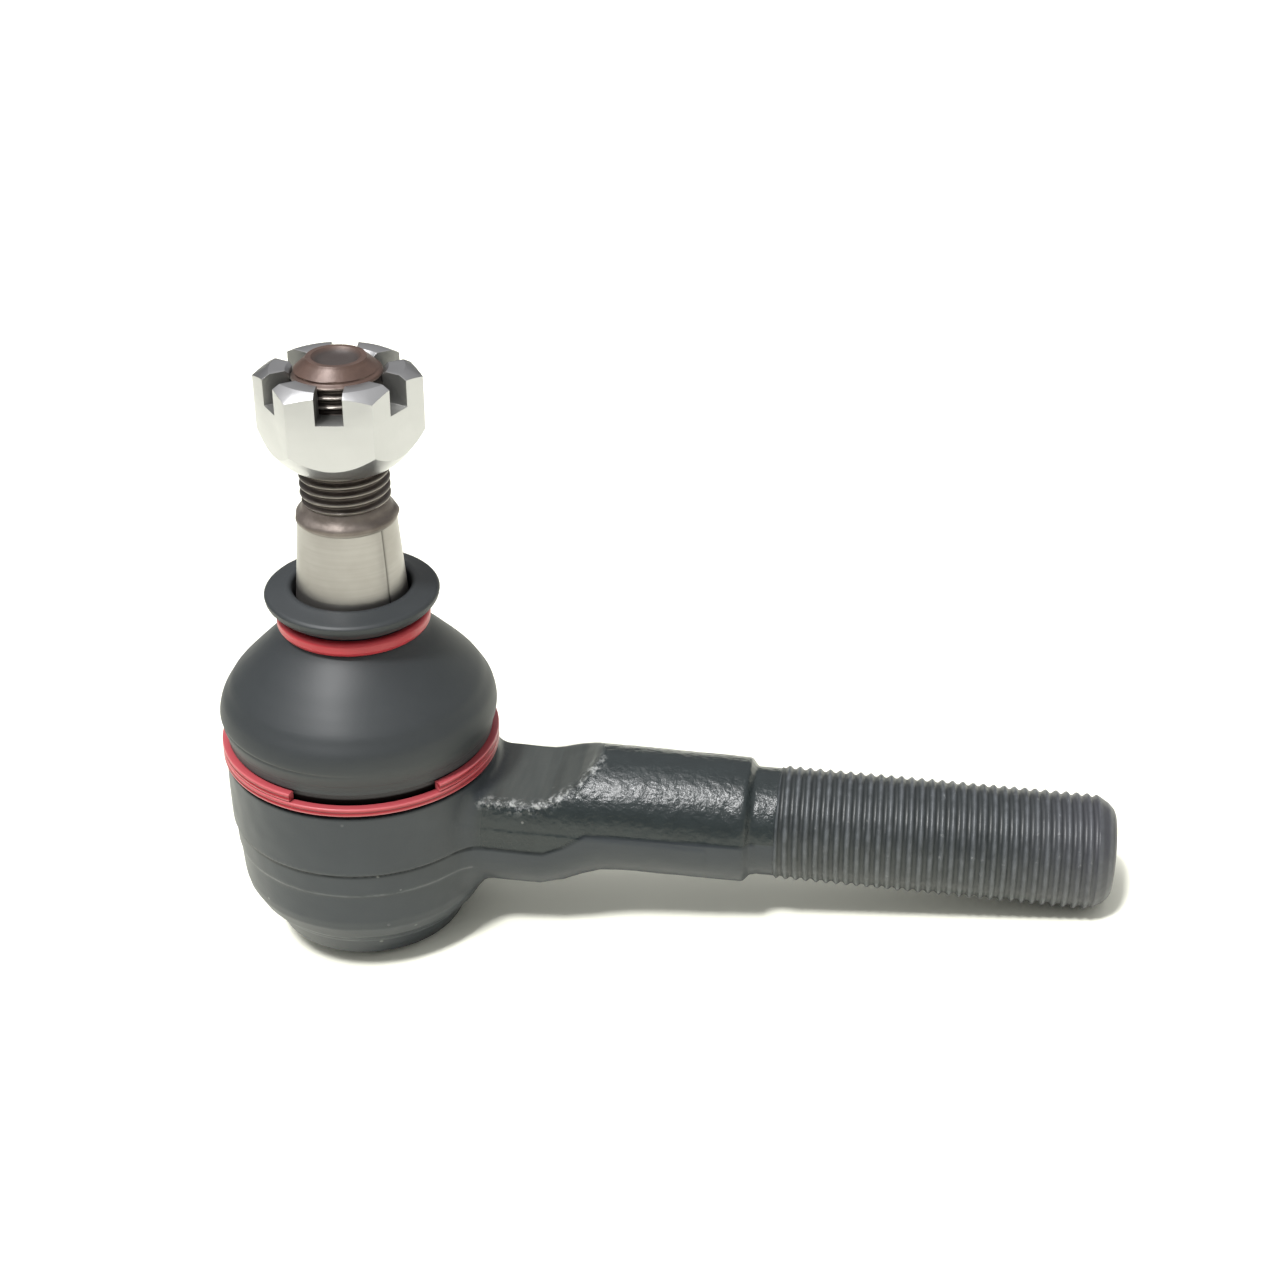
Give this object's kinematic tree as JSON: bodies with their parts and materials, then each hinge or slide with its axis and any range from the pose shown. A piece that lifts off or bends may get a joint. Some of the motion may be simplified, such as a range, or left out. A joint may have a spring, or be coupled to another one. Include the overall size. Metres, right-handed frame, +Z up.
{
  "type": "tie rod end",
  "caption": "Outer tie rod end: a ball stud with taper, thread and castle nut in a round forged housing with rubber boot, on a straight threaded shank.",
  "frame": {"origin": "centre of the housing's flat underside", "axes": "+Z up along the ball stud, +X along the threaded shank"},
  "size_m": [0.1248, 0.0388, 0.086],
  "materials": {
    "black_paint": "satin black paint over a forged steel surface",
    "seat_polymer": "moulded bearing plastic",
    "spring_steel": "hardened spring steel",
    "red_ring": "flat wire with a red coating",
    "red_band": "smooth red elastic band",
    "boot_rubber": "matt black rubber",
    "stud_steel": "ground taper, oxidised brown thread and end",
    "nut_zinc": "bright zinc plate"
  },
  "bodies": {
    "housing": {"housing": "black_paint", "cover_plate": "black_paint", "upper_seat": "seat_polymer", "lower_seat": "seat_polymer", "disc_spring": "spring_steel", "boot_base_ring_upper": "red_ring", "boot_base_ring_lower": "red_ring"},
    "boot": {"dust_boot": "boot_rubber"},
    "boot_neck": {"boot_top_ring": "red_band"},
    "ball_stud": {"ball_stud": "stud_steel"},
    "castle_nut": {"castle_nut": "nut_zinc"}
  },
  "joints": [
    {"name": "swing_along_shank", "type": "hinge", "parent": "housing", "child": "boot", "pos_m": [0, 0, 0.017], "axis": [0, 1, 0], "range_deg": [-20, 20], "deforming": ["dust_boot"]},
    {"name": "swing_across_shank", "type": "hinge", "parent": "boot", "child": "boot_neck", "pos_m": [0, 0, 0.017], "axis": [1, 0, 0], "range_deg": [-20, 20]},
    {"name": "stud_spin", "type": "hinge", "parent": "boot_neck", "child": "ball_stud", "pos_m": [0, 0, 0.017], "axis": [0, 0, 1], "continuous": true},
    {"name": "nut_travel", "type": "slide", "parent": "ball_stud", "child": "castle_nut", "axis": [0, 0, 1], "range_m": [-0.0054, 0.016]}
  ]
}
